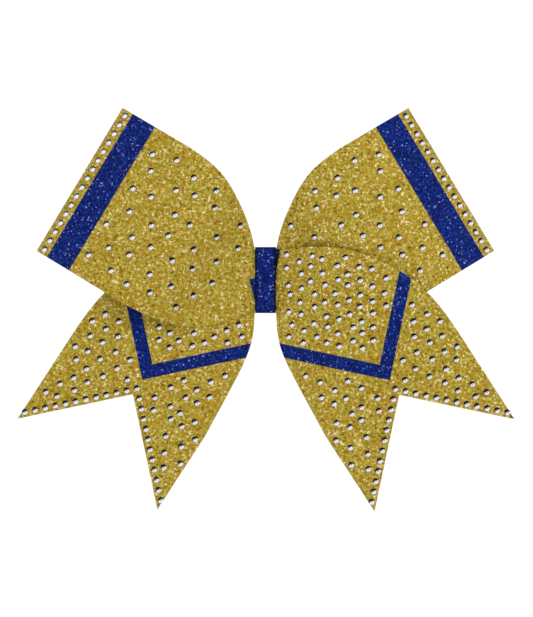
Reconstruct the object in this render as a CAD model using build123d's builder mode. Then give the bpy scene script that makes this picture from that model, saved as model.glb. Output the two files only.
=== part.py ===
from build123d import *
from math import cos, hypot, pi, radians, sin, sqrt
import os
import random

# A cheer hair bow: one 3 in strip folded into two loops and two notched tails, pinched at its middle,
# bound with a narrow knot ribbon and fastened to a spring barrette. Millimetres.
# Frame: the origin is the middle of the hair gap in the closed barrette. The front of the bow faces -Y,
# +Z is up, and "left" and "right" are the viewer's, so the right side is at +X.
os.makedirs("parts", exist_ok=True)

# ---- driving dimensions ------------------------------------------------------------------------
# the strip and what is pressed on it
ribbon_width = 76.2
backing = 0.6
face = 0.4
overlay = 0.2
lay_gap = 0.1

# loops, measured along and across an axis that rises from the knot
loop_angle = 31.0
loop_reach = 96.8
loop_drop = 4.3
loop_bulge = 12.0
loop_rise_start = 10.0
loop_crown = 46.0
fold_opening = 1.0
back_opening = 0.8
fold_run = 2.0
# the gathered edges near the knot: place along the axis, and share of the full half width
lower_gather = ((9.0, 0.69), (26.0, 0.92), (48.0, 1.0))
upper_gather = ((16.0, 0.42), (28.0, 0.7), (43.0, 0.93), (60.0, 1.0))

# tails, which hang outward from the knot
tail_angle = 33.0
tail_reach = 114.8
tail_shift = 22.4
tail_bulge = 14.0
tail_crown = 48.0
tail_root_radius = 2.0
tail_tip_bulge = 5.0
rear_tail_wave = 3.0
rear_wave_start = 26.0
rear_wave_crest = 72.0
rear_wave_return = 0.7
# the gathered edges below the knot: share of the full reach across, and place down the tail
outer_gather = ((0.54, 3.4), (0.81, 22.0), (0.965, 44.5), (1.0, 72.0))
inner_gather = ((0.62, 26.4), (0.85, 46.0), (1.0, 75.0))

# stripes
stripe_margin = 6.1
stripe_width = 11.8
chevron_width = 5.9
chevron_to_notch = 7.9

# rhinestones
stone_diameter = 2.9
stone_table = 1.7
stone_height = 1.1
stone_lift = 0.04
border_pitch = 4.75
border_inset = 3.3
notch_inset = 2.3
loop_stone_pitch = 11.0
root_stone_pitch = 6.2
prong_stone_pitch = 7.3
stone_jitter = 0.16
stone_edge = 2.6
loop_seed, root_seed, prong_seed = 4, 7, 11

# the knot
knot_width = 9.5
pinch_height = 27.0
tie_width = 2.4
tie_thickness = 0.5
wrap_thickness = 0.4
wrap_gap = 0.1

# the barrette, along X behind the knot
hair_gap = 6.0
plate_length = 82.0
plate_height = 9.0
plate_thickness = 0.7
plate_radius = 160.0
plate_standoff = 8.2
plate_corner = 3.0
glue_thickness = 0.7
glue_length = 11.0
glue_height = 7.0
sewing_hole = 1.6
sewing_hole_spacing = 50.0
pin_diameter = 1.0
pin_reach = 38.5
pin_head = 0.4
running_clearance = 0.05
side_clearance = 0.3
ear_thickness = 0.6
ear_radius = 1.8
arm_thickness = 0.7
arm_width = 5.0
arm_end_rim = 1.2
arm_tab = 2.2
knuckle_width = 2.5
knuckle_radius = 1.3
knuckle_room = 3.0
tension_thickness = 0.3
tension_loop_radius = 1.0
tension_end = 33.0
clip_thickness = 0.5
wing_start = 34.5
wing_length = 6.0
wing_thickness = 0.5
wing_spacing = 4.7
wing_reach = 4.6
wing_corner = 1.5
wing_root_gap = 0.2
hook_depth = 0.25
hook_height = 0.8
hook_clearance = 0.1
latch_gap = 0.2
window_end_gap = 0.6
rivet_diameter = 1.6
rivet_head = 2.6
rivet_head_height = 0.4

# ---- places worked out from them -----------------------------------------------------------------
half_width = ribbon_width / 2
half_knot = knot_width / 2
half_pinch = pinch_height / 2
knot_edge = half_knot + wrap_gap

# depths of the three strands where they cross the knot, each at the seam between backing and face
ribbon_rear = -plate_standoff - glue_thickness
strand_back = ribbon_rear - face
strand_middle = strand_back - backing - lay_gap - backing
strand_front = strand_middle - face - lay_gap - backing
ribbon_front = strand_front - face

plate_centre = plate_radius - plate_standoff
plate_back = plate_radius - plate_thickness
arm_inner = hair_gap / 2
arm_outer = arm_inner + arm_thickness
pin_depth = arm_outer - knuckle_radius
sheet_reach = 1.5 * tail_reach
loop_lead = 16.0
loop_steps = 24
tail_steps = 36


def save(builder, name):
    builder.part.label = name
    export_step(builder.part, f"parts/{name}.step")


def front_plane(side, angle):
    """A plane seen from the front, turned so that its x axis points outward and up at an angle."""
    turn = radians(angle)
    return Plane(origin=(0, 0, 0), x_dir=(side * cos(turn), 0, sin(turn)), z_dir=(0, -side, 0))


def turned(x, z, angle):
    """The outward and upward place (x, z) in the coordinates of a front plane."""
    turn = radians(angle)
    return (x * cos(turn) + z * sin(turn), z * cos(turn) - x * sin(turn))


def ramp(value, start, end):
    """Rise smoothly from 0 at start to 1 at end."""
    share = min(max((value - start) / (end - start), 0), 1)
    return (1 - cos(pi * share)) / 2


# ---- the depth of each stretch of ribbon ---------------------------------------------------------
def loop_front(along, strand):
    """Depth of a loop's front layer: flat in the pinch, crowned, then down to the fold."""
    if along < loop_crown:
        return strand - loop_bulge * ramp(along, loop_rise_start, loop_crown)
    fall = (along - loop_crown) / (loop_reach - loop_crown)
    return strand - fold_opening - (loop_bulge - fold_opening) * cos(pi / 2 * min(fall, 1))


def loop_back(along):
    """Depth of a loop's back layer, which lies flat along the barrette and then opens a little."""
    return strand_back + back_opening * ramp(along, plate_length / 2, loop_reach - stripe_width)


def front_tail(out):
    """Depth of the right tail, which passes over the front of the right loop."""
    if out < tail_crown:
        run = hypot(max(out - half_knot, 0), tail_root_radius) - tail_root_radius
        return strand_front - tail_bulge * sin(pi / 2 * run / (tail_crown - half_knot - tail_root_radius))
    fall = (out - tail_crown) / (tail_reach - tail_crown)
    return strand_front - tail_tip_bulge - (tail_bulge - tail_tip_bulge) * cos(pi / 2 * min(fall, 1))


def rear_tail(out):
    """Depth of the left tail, which leaves from between the two layers of the left loop."""
    rise = ramp(out, rear_wave_start, rear_wave_crest)
    fall = rear_wave_return * ramp(out, rear_wave_crest, tail_reach)
    return strand_middle - rear_tail_wave * (rise - fall)


def loop_path(strand):
    """A loop's section from the knot along the front, round the fold and back to the knot."""
    fold_front = strand - fold_opening
    fold_back = strand_back + back_opening
    fold_radius = (fold_back - fold_front) / 2
    straight_end = loop_reach - face - fold_radius
    length = straight_end - fold_run + loop_lead
    run = [step * length / loop_steps - loop_lead for step in range(loop_steps + 1)]
    fold = [
        (
            straight_end + fold_radius * cos(radians(angle)),
            (fold_front + fold_back) / 2 + fold_radius * sin(radians(angle)),
        )
        for angle in (-60, -30, 0, 30, 60)
    ]
    front = [(along, loop_front(along, strand)) for along in run]
    back = [(along, loop_back(along)) for along in reversed(run)]
    return front + fold + back


def shifted(path, distance):
    """The path moved outward, to the right of its direction of travel."""
    moved = []
    for index, (x, y) in enumerate(path):
        before = path[max(index - 1, 0)]
        after = path[min(index + 1, len(path) - 1)]
        run_x = after[0] - before[0]
        run_y = after[1] - before[1]
        length = hypot(run_x, run_y)
        moved.append((x + distance * run_y / length, y - distance * run_x / length))
    return moved


def strip_between(path, inner, outer):
    """The strip between two distances from a path."""
    near = shifted(path, inner)
    far = shifted(path, outer)
    with BuildSketch() as strip:
        with BuildLine():
            Spline(*near)
            Line(near[-1], far[-1])
            Spline(*reversed(far))
            Line(far[0], near[0])
        make_face()
    return strip.sketch


# ---- outlines seen from the front ----------------------------------------------------------------
loop_top = half_width - loop_drop
loop_bottom = -half_width - loop_drop
tail_outer = tail_shift + half_width
tail_inner = tail_shift - half_width
notch_top = half_width - tail_reach


def outside_pinch(angle):
    """What a gathered outline mustn't cover inside the knot: all above and below the pinch."""
    with BuildSketch() as outside:
        for up in (half_pinch + half_width, -half_pinch - half_width):
            with Locations(Location((*turned(0, up, angle), 0), (0, 0, -angle))):
                Rectangle(2 * knot_edge, ribbon_width)
    return outside.sketch


def loop_outline():
    """A loop: gathered at the knot, then at full width to its straight fold."""
    lower = [(along, share * loop_bottom) for along, share in lower_gather]
    upper = [(along, share * loop_top) for along, share in upper_gather]
    with BuildSketch() as outline:
        with BuildLine():
            Polyline(
                turned(knot_edge, half_pinch, loop_angle),
                turned(0, half_pinch, loop_angle),
                turned(0, -half_pinch, loop_angle),
                turned(knot_edge, -half_pinch, loop_angle),
            )
            Spline(turned(knot_edge, -half_pinch, loop_angle), *lower)
            Polyline(lower[-1], (loop_reach, loop_bottom), (loop_reach, loop_top), upper[-1])
            Spline(*reversed(upper), turned(knot_edge, half_pinch, loop_angle))
        make_face()
        add(outside_pinch(loop_angle), mode=Mode.SUBTRACT)
    return outline.sketch


def tail_outline():
    """A tail: gathered at the knot, then at full width to two points with a square notch between."""
    outer = [(share * tail_outer, -down) for share, down in outer_gather]
    inner = [(share * tail_inner, -down) for share, down in inner_gather]
    with BuildSketch() as outline:
        with BuildLine():
            Polyline(
                turned(knot_edge, -half_pinch, tail_angle),
                turned(0, -half_pinch, tail_angle),
                turned(0, half_pinch, tail_angle),
                turned(knot_edge, half_pinch, tail_angle),
            )
            Spline(turned(knot_edge, half_pinch, tail_angle), *outer)
            Polyline(
                outer[-1],
                (tail_outer, -tail_reach),
                (tail_shift, notch_top),
                (tail_inner, -tail_reach),
                inner[-1],
            )
            Spline(*reversed(inner), turned(knot_edge, -half_pinch, tail_angle))
        make_face()
        add(outside_pinch(tail_angle), mode=Mode.SUBTRACT)
    return outline.sketch


def chevron_outline():
    """A bent stripe whose point faces the notch."""
    with BuildSketch() as outline:
        outer_point = notch_top + chevron_to_notch
        inner_point = outer_point + chevron_width * sqrt(2)
        with BuildLine():
            Polyline(
                (tail_shift, outer_point),
                (tail_shift + ribbon_width, outer_point + ribbon_width),
                (tail_shift + ribbon_width, inner_point + ribbon_width),
                (tail_shift, inner_point),
                (tail_shift - ribbon_width, inner_point + ribbon_width),
                (tail_shift - ribbon_width, outer_point + ribbon_width),
                close=True,
            )
        make_face()
    return outline.sketch


# ---- rhinestones ---------------------------------------------------------------------------------
def scattered(field, pitch, seed):
    """Jittered rows of places in a field, clear of its edges."""
    draw = random.Random(seed)
    box = field.bounding_box()
    edge = field.outer_wire()
    row_step = pitch * sqrt(3) / 2
    places = []
    for row in range(int(box.size.Y / row_step) + 1):
        for column in range(int(box.size.X / pitch) + 1):
            x = box.min.X + (column + row % 2 / 2 + draw.uniform(-stone_jitter, stone_jitter)) * pitch
            y = box.min.Y + row * row_step + draw.uniform(-stone_jitter, stone_jitter) * pitch
            if field.is_inside((x, y, 0)) and edge.distance_to(Vector(x, y, 0)) > stone_edge:
                places.append((x, y))
    return places


def stone_planes(places, side, angle, depth):
    """Stand each place of a front plane on the ribbon's face, square to it."""
    frame = front_plane(side, angle)
    planes = []
    for place in places:
        spot = frame.from_local_coords(Vector(*place))
        out = side * spot.X
        step = 0.01
        slope_x = side * (depth(out + step, spot.Z) - depth(out - step, spot.Z)) / (2 * step)
        slope_z = (depth(out, spot.Z + step) - depth(out, spot.Z - step)) / (2 * step)
        normal = Vector(slope_x, -1, slope_z).normalized()
        seat = Vector(spot.X, depth(out, spot.Z), spot.Z) + normal * (face + stone_lift)
        planes.append(Plane(origin=seat, z_dir=normal))
    return planes


def save_stones(planes, name):
    """Cut stones with a flat table, in one node."""
    with BuildPart() as stones:
        with Locations(*planes):
            Cone(
                bottom_radius=stone_diameter / 2,
                top_radius=stone_table / 2,
                height=stone_height,
                align=(Align.CENTER, Align.CENTER, Align.MIN),
            )
    save(stones, name)


# ---- loops ---------------------------------------------------------------------------------------
left, right = -1, 1
sides = ((left, "left"), (right, "right"))
stripe_end = loop_reach - stripe_margin
stripe_start = stripe_end - stripe_width


def section_plane(side, angle):
    """The plane of a section: outward along an axis at an angle, and back."""
    turn = radians(angle)
    return Plane(
        origin=(0, 0, 0),
        x_dir=(side * cos(turn), 0, sin(turn)),
        z_dir=(-sin(turn), 0, side * cos(turn)),
    )


for side, name in sides:
    strand = strand_front if side == left else strand_middle
    for layer, inner, outer in (
        ("loop_backing", -backing, 0),
        ("loop_face", 0, face),
        ("loop_stripe", face, face + overlay),
    ):
        with BuildPart() as loop:
            with BuildSketch(section_plane(side, loop_angle).offset(-sheet_reach / 2)):
                add(strip_between(loop_path(strand), inner, outer))
                if layer == "loop_stripe":
                    with Locations(((stripe_start + stripe_end) / 2, strand - loop_bulge)):
                        Rectangle(stripe_width, 2 * loop_bulge, mode=Mode.INTERSECT)
            extrude(amount=sheet_reach)
            with BuildSketch(front_plane(side, loop_angle).offset(-sheet_reach / 2)):
                add(loop_outline())
            extrude(amount=sheet_reach, mode=Mode.INTERSECT)
        save(loop, f"{name}_{layer}")


# ---- tails ---------------------------------------------------------------------------------------
def tail_path(side):
    """A tail's section from above, always run towards +X."""
    depth = front_tail if side == right else rear_tail
    length = tail_reach + half_width / 2
    outs = [step * length / tail_steps - half_knot / 2 for step in range(tail_steps + 1)]
    path = [(side * out, depth(out)) for out in outs]
    return path if side == right else path[::-1]


for side, name in sides:
    for layer, inner, outer in (
        ("tail_backing", -backing, 0),
        ("tail_face", 0, face),
        ("chevron", face, face + overlay),
    ):
        with BuildPart() as tail:
            with BuildSketch(Plane.XY.offset(-sheet_reach)):
                add(strip_between(tail_path(side), inner, outer))
            extrude(amount=2 * sheet_reach)
            with BuildSketch(front_plane(side, tail_angle).offset(-sheet_reach / 2)):
                add(tail_outline())
                if layer == "chevron":
                    add(chevron_outline(), mode=Mode.INTERSECT)
            extrude(amount=sheet_reach, mode=Mode.INTERSECT)
        save(tail, f"{name}_{layer}")

# ---- rhinestones ---------------------------------------------------------------------------------
# The loops carry one row beside each fold and a loose scatter; the tails carry a row along each edge
# of the notch and a close scatter. None sit where a loop and a tail cover each other.
row_band = notch_inset + stone_diameter / 2
with BuildSketch() as loop_field:
    add(loop_outline())
    with Locations(((half_pinch + stripe_start) / 2, 0)):
        Rectangle(stripe_start - half_pinch, 2 * ribbon_width, mode=Mode.INTERSECT)
with BuildSketch() as tail_field:
    add(tail_outline())
    add(chevron_outline(), mode=Mode.SUBTRACT)
    with BuildLine():
        Polyline(
            (tail_shift, notch_top + row_band * sqrt(2)),
            (tail_shift + ribbon_width, notch_top + row_band * sqrt(2) - ribbon_width),
            (tail_shift - ribbon_width, notch_top + row_band * sqrt(2) - ribbon_width),
            close=True,
        )
    make_face(mode=Mode.SUBTRACT)
root_field, *prong_fields = tail_field.sketch.faces().sort_by(Axis.Y, reverse=True)

fold_row = [
    (loop_reach - border_inset, (index + 0.5) * border_pitch - half_width - loop_drop)
    for index in range(int(ribbon_width / border_pitch))
]
notch_run = [
    (index * border_pitch - notch_inset) / sqrt(2)
    for index in range(int((half_width * sqrt(2) + notch_inset - stone_edge) / border_pitch) + 1)
]
notch_rise = notch_inset / sqrt(2)
notch_row = [(tail_shift + notch_rise + run, notch_top + notch_rise - run) for run in notch_run]
notch_row += [(tail_shift - notch_rise - run, notch_top + notch_rise - run) for run in notch_run[1:]]
loop_scatter = scattered(loop_field.sketch.face(), loop_stone_pitch, loop_seed)
tail_scatter = scattered(root_field, root_stone_pitch, root_seed)
for prong_field in prong_fields:
    tail_scatter += scattered(prong_field, prong_stone_pitch, prong_seed)


def in_sight(places, angle, cover=None, cover_angle=0.0):
    """The places of a front plane that the knot and another outline leave in sight."""
    kept = []
    for place in places:
        out, up = turned(*place, -angle)
        spot = Vector(*turned(out, up, cover_angle))
        if out < half_knot + stone_edge:
            continue
        if cover and (cover.is_inside(spot) or cover.outer_wire().distance_to(spot) < stone_edge):
            continue
        kept.append(place)
    return kept


for side, name in sides:
    strand = strand_front if side == left else strand_middle
    over_loop = tail_outline().face() if side == right else None
    over_tail = loop_outline().face() if side == left else None
    loop_places = in_sight(loop_scatter, loop_angle, over_loop, tail_angle)
    tail_places = in_sight(tail_scatter, tail_angle, over_tail, loop_angle)
    tail_rows = in_sight(notch_row, tail_angle, over_tail, loop_angle)

    def loop_depth(out, up):
        return loop_front(turned(out, up, loop_angle)[0], strand)

    def tail_depth(out, up):
        return front_tail(out) if side == right else rear_tail(out)

    save_stones(stone_planes(fold_row, side, loop_angle, loop_depth), f"{name}_loop_border_stones")
    save_stones(stone_planes(loop_places, side, loop_angle, loop_depth), f"{name}_loop_stones")
    save_stones(stone_planes(tail_rows, side, tail_angle, tail_depth), f"{name}_tail_border_stones")
    save_stones(stone_planes(tail_places, side, tail_angle, tail_depth), f"{name}_tail_stones")

# ---- the knot ------------------------------------------------------------------------------------
# A tie draws the three strands together. The knot ribbon is wound twice round them and the plate.
tie_inner_front = ribbon_front - wrap_gap
tie_inner_back = ribbon_rear + wrap_gap
tie_inner_half = half_pinch + wrap_gap
with BuildPart() as centre_tie:
    with BuildSketch(Plane.YZ.offset(-tie_width / 2)):
        with Locations(((tie_inner_front + tie_inner_back) / 2, 0)):
            Rectangle(
                tie_inner_back - tie_inner_front + 2 * tie_thickness,
                2 * (tie_inner_half + tie_thickness),
            )
            Rectangle(tie_inner_back - tie_inner_front, 2 * tie_inner_half, mode=Mode.SUBTRACT)
    extrude(amount=tie_width)
save(centre_tie, "centre_tie")

plate_depth_at_knot = plate_centre - sqrt(plate_back**2 - half_knot**2)
wrapped_front = tie_inner_front - tie_thickness
wrapped_rear = tie_inner_back + tie_thickness
wrapped_half = tie_inner_half + tie_thickness


def wrap_section(clearance):
    """The outline of what the knot ribbon is wound round, with a clearance."""
    with BuildSketch() as section:
        Polygon(
            (wrapped_front, wrapped_half),
            (wrapped_front, -wrapped_half),
            (wrapped_rear, -wrapped_half),
            (plate_depth_at_knot, -plate_height / 2),
            (plate_depth_at_knot, plate_height / 2),
            (wrapped_rear, wrapped_half),
            align=None,
        )
        offset(amount=clearance)
    return section.sketch


for name, start in (("knot_inner_wrap", wrap_gap), ("knot_outer_wrap", 2 * wrap_gap + wrap_thickness)):
    with BuildPart() as wrap:
        with BuildSketch(Plane.YZ.offset(-half_knot)):
            add(wrap_section(start + wrap_thickness))
            add(wrap_section(start), mode=Mode.SUBTRACT)
        extrude(amount=knot_width)
    save(wrap, name)


# ---- the barrette --------------------------------------------------------------------------------
def arched(radius, thickness, start, end):
    """A strip of the plate's arch, from its outer radius inward, between two places along X."""
    with BuildSketch() as strip:
        with Locations((0, plate_centre)):
            Circle(radius)
            Circle(radius - thickness, mode=Mode.SUBTRACT)
        with Locations(((start + end) / 2, plate_centre - plate_radius)):
            Rectangle(end - start, plate_radius, mode=Mode.INTERSECT)
    return strip.sketch


for side, name in sides:
    with BuildPart() as glue_pad:
        with BuildSketch(Plane.XY.offset(-glue_height / 2)):
            near = side * (tie_width / 2 + wrap_gap)
            far = near + side * glue_length
            with Locations(((near + far) / 2, ribbon_rear + plate_standoff / 2)):
                Rectangle(glue_length, plate_standoff)
            with Locations((0, plate_centre)):
                Circle(plate_radius, mode=Mode.SUBTRACT)
        extrude(amount=glue_height)
    save(glue_pad, f"{name}_glue_pad")

rivet_place = wing_start + wing_length / 2
rivet_rise = sqrt(plate_radius**2 - rivet_place**2)
rivet_plane = Plane(
    origin=(rivet_place, plate_centre - rivet_rise, 0),
    x_dir=(rivet_rise, rivet_place, 0),
    z_dir=(-rivet_place, rivet_rise, 0),
)
ear_inner = arm_width / 2 + side_clearance
ear_foot = plate_centre - sqrt((plate_radius - plate_thickness / 2) ** 2 - pin_reach**2)
with BuildPart() as barrette_plate:
    with BuildSketch(Plane.XY.offset(-plate_height)):
        add(arched(plate_radius, plate_thickness, -plate_length, plate_length))
    extrude(amount=2 * plate_height)
    with BuildSketch(Plane.XZ.offset(-plate_standoff)):
        RectangleRounded(plate_length, plate_height, radius=plate_corner)
    extrude(amount=3 * plate_standoff, mode=Mode.INTERSECT)
    for start in (ear_inner, -ear_inner - ear_thickness):
        with BuildSketch(Plane.XY.offset(start)):
            with Locations((-pin_reach, pin_depth)):
                Circle(ear_radius)
            with Locations((-pin_reach, (pin_depth + ear_foot) / 2)):
                Rectangle(2 * ear_radius, pin_depth - ear_foot)
        extrude(amount=ear_thickness)
    with Locations((-pin_reach, pin_depth, 0)):
        Cylinder(pin_diameter / 2, plate_height, mode=Mode.SUBTRACT)
    with Locations(Plane.XZ):
        with GridLocations(sewing_hole_spacing, 0, 2, 1):
            Cylinder(sewing_hole / 2, 3 * plate_standoff, mode=Mode.SUBTRACT)
    with Locations(rivet_plane):
        Cylinder(rivet_diameter / 2, 2 * (plate_thickness + clip_thickness), mode=Mode.SUBTRACT)
save(barrette_plate, "barrette_plate")

with BuildPart() as hinge_pin:
    with Locations((-pin_reach, pin_depth, 0)):
        Cylinder(pin_diameter / 2, 2 * (ear_inner + ear_thickness + pin_head))
save(hinge_pin, "hinge_pin")

wing_end = wing_start + wing_length
window_start = wing_start - window_end_gap
window_end = wing_end + window_end_gap
window_height = wing_spacing + wing_thickness + 2 * (hook_depth + hook_clearance)
arm_end = window_end + arm_tab
arm_start = -pin_reach + knuckle_room
with BuildPart() as clasp_arm:
    with BuildSketch(Plane.XZ.offset(-arm_outer)):
        with Locations(((arm_start + arm_end) / 2, 0)):
            Rectangle(arm_end - arm_start, arm_width)
        with Locations(((window_start - arm_tab + arm_end) / 2, 0)):
            RectangleRounded(
                arm_end - window_start + arm_tab, window_height + 2 * arm_end_rim, radius=arm_tab - 0.1
            )
        with Locations(((window_start + window_end) / 2, 0)):
            Rectangle(window_end - window_start, window_height, mode=Mode.SUBTRACT)
    extrude(amount=arm_thickness)
    with BuildSketch(Plane.XY.offset(-knuckle_width / 2)):
        with Locations((-pin_reach, pin_depth)):
            Circle(knuckle_radius)
        with Locations((-pin_reach + knuckle_room / 2, arm_inner + arm_thickness / 2)):
            Rectangle(knuckle_room, arm_thickness)
        with Locations((-pin_reach, pin_depth)):
            Circle(pin_diameter / 2 + running_clearance, mode=Mode.SUBTRACT)
    extrude(amount=knuckle_width)
save(clasp_arm, "clasp_arm")

tension_radius = plate_centre + hair_gap / 2 + tension_thickness
tension_start = -pin_reach + knuckle_room
tension_middle = tension_radius - tension_thickness / 2
tension_root = plate_centre - sqrt(tension_middle**2 - tension_start**2)
with BuildPart() as tension_bar:
    with BuildSketch(Plane.XY.offset(-arm_width / 2)):
        with BuildSketch():
            with Locations((-pin_reach, pin_depth)):
                Circle(tension_loop_radius)
            with Locations((tension_start, tension_root)):
                Circle(tension_thickness / 2)
            make_hull()
        add(arched(tension_radius, tension_thickness, tension_start, tension_end))
        with Locations((-pin_reach, pin_depth)):
            Circle(pin_diameter / 2 + running_clearance, mode=Mode.SUBTRACT)
    extrude(amount=arm_width)
    with Locations((-pin_reach, pin_depth, 0)):
        Box(
            2 * (knuckle_radius + side_clearance),
            2 * (knuckle_radius + side_clearance),
            knuckle_width + 2 * side_clearance,
            mode=Mode.SUBTRACT,
        )
save(tension_bar, "tension_bar")

clip_height = wing_spacing
with BuildPart() as latch_clip:
    with BuildSketch(Plane.XY.offset(-clip_height / 2)):
        add(arched(plate_back, clip_thickness, wing_start, wing_end))
    extrude(amount=clip_height)
    with Locations(rivet_plane):
        Cylinder(rivet_diameter / 2, 2 * (plate_thickness + clip_thickness), mode=Mode.SUBTRACT)
save(latch_clip, "latch_clip")

rivet_grip = plate_thickness + clip_thickness
with BuildPart() as latch_rivet:
    with Locations(rivet_plane):
        Cylinder(rivet_diameter / 2, rivet_grip, align=(Align.CENTER, Align.CENTER, Align.MIN))
    with Locations(rivet_plane.offset(-rivet_head_height), rivet_plane.offset(rivet_grip)):
        Cylinder(rivet_head / 2, rivet_head_height, align=(Align.CENTER, Align.CENTER, Align.MIN))
save(latch_rivet, "latch_rivet")

wing_floor = [
    (place, plate_centre - sqrt((plate_back - clip_thickness) ** 2 - place**2) + wing_root_gap)
    for place in (wing_start, wing_end)
]
wing_top = arm_outer + wing_reach
hook_start = arm_outer + latch_gap
for rise, name in ((1, "latch_wing_upper"), (-1, "latch_wing_lower")):
    with BuildPart() as wing:
        with BuildSketch(Plane.XY.offset((rise * wing_spacing - wing_thickness) / 2)) as blade:
            with BuildLine():
                Polyline(*wing_floor, (wing_end, wing_top), (wing_start, wing_top), close=True)
            make_face()
            fillet(blade.vertices().group_by(Axis.Y)[-1], radius=wing_corner)
        extrude(amount=wing_thickness)
        hook_side = rise * (wing_spacing + wing_thickness) / 2
        with BuildSketch(Plane.YZ.offset(wing_start)):
            with BuildLine():
                Polyline(
                    (hook_start, hook_side),
                    (hook_start, hook_side + rise * hook_depth),
                    (hook_start + hook_height, hook_side),
                    close=True,
                )
            make_face()
        extrude(amount=wing_length)
    save(wing, name)
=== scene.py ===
import math

import bmesh
import bpy
import numpy as np
from mathutils import Matrix, Vector
from mathutils.bvhtree import BVHTree

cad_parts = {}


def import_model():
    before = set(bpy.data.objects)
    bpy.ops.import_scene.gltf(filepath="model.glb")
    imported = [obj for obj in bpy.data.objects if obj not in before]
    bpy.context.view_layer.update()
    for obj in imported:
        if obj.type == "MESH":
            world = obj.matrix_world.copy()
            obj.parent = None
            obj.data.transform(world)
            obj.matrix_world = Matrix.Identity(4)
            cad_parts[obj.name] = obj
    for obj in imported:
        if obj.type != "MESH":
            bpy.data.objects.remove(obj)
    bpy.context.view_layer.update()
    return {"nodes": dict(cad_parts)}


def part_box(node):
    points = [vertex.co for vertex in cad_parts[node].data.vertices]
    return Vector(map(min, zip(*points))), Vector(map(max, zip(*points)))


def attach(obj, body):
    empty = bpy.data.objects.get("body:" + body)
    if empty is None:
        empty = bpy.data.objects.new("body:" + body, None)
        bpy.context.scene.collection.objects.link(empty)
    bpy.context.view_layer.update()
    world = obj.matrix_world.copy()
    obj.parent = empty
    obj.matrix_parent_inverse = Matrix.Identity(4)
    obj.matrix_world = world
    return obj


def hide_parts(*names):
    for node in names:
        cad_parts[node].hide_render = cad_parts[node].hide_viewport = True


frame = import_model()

nodes = frame["nodes"]
sides = (("left", -1), ("right", 1))

# ---- The strip of cheer ribbon ---------------------------------------------------------------------
# A stiff ribbon 76 mm wide, laid up from a ribbed grosgrain backing and a glitter cloth bonded to its
# face. One length makes both loops and both tails; here are its layers, its glitter and its ribs.
# Lengths are in metres throughout, and angles in radians unless converted.
ribbon_width = 0.0762
half_width = ribbon_width / 2
backing = 0.0006
face = 0.0004
film = 0.0002
lay_gap = 0.0001
half_pinch = 0.0135
knot_edge = 0.00485
rib_pitch = 0.001
rib_depth = 0.00013
cloth_step = 0.0015
rib_step = 0.0002
sharp_angle = 0.7
strand_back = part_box("left_glue_pad")[0][1] - face
strand_middle = strand_back - 2 * backing - lay_gap
strand_front = strand_middle - face - backing - lay_gap


def ramp(value, start, end):
    """Rise smoothly from 0 at start to 1 at end."""
    share = np.clip((np.asarray(value, float) - start) / (end - start), 0, 1)
    return (1 - np.cos(np.pi * share)) / 2


def lengths_along(points):
    """The distance from the first point to each point, along the line through them all."""
    return np.concatenate([[0], np.cumsum(np.linalg.norm(np.diff(points, axis=0), axis=1))])


def smooth_line(points, count=40):
    """A natural cubic spline through a few points."""
    p = np.array(points, float)
    t = lengths_along(p)
    h = np.diff(t)
    size = len(p)
    left_side = np.eye(size)
    right_side = np.zeros_like(p)
    for i in range(1, size - 1):
        left_side[i, i - 1:i + 2] = h[i - 1], 2 * (h[i - 1] + h[i]), h[i]
        right_side[i] = 6 * ((p[i + 1] - p[i]) / h[i] - (p[i] - p[i - 1]) / h[i - 1])
    bend = np.linalg.solve(left_side, right_side)
    s = np.linspace(0, t[-1], count)
    k = np.clip(np.searchsorted(t, s, side="right") - 1, 0, size - 2)
    a, b, w = (t[k + 1] - s)[:, None], (s - t[k])[:, None], h[k][:, None]
    return (
        (bend[k] * a**3 + bend[k + 1] * b**3) / (6 * w)
        + (p[k] / w - bend[k] * w / 6) * a
        + (p[k + 1] / w - bend[k + 1] * w / 6) * b
    )


def edge_rule(start, curve, end):
    """An edge of the ribbon: its place across for a place along, through a gathered curve."""
    line = np.vstack([[start], smooth_line(curve), [end]])
    return lambda along: np.interp(along, line[:, 0], line[:, 1])


def grid_surface(points, runs, across):
    """A surface through rows of points that remembers each point's place along and across the strip."""
    surface = bmesh.new()
    run_layer = surface.verts.layers.float.new("run")
    across_layer = surface.verts.layers.float.new("across")
    rows = []
    for row, run_row, across_row in zip(points, runs, across):
        line = []
        for point, run, place in zip(row, run_row, across_row):
            vert = surface.verts.new(point)
            vert[run_layer] = run
            vert[across_layer] = place
            line.append(vert)
        rows.append(line)
    for near, far in zip(rows, rows[1:]):
        for i in range(len(near) - 1):
            surface.faces.new((near[i], near[i + 1], far[i + 1], far[i]))
    return surface


def face_forward(surface, row_faces):
    """Turn the whole surface so that its first faces look out of the front."""
    surface.normal_update()
    surface.faces.ensure_lookup_table()
    lean = sum(surface.faces[i].normal.y for i in range(row_faces))
    if lean > 0:
        bmesh.ops.reverse_faces(surface, faces=surface.faces[:])
        surface.normal_update()


def new_object(name, data):
    """A new object in the scene."""
    made = bpy.data.objects.new(name, data)
    bpy.context.collection.objects.link(made)
    return made


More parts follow.
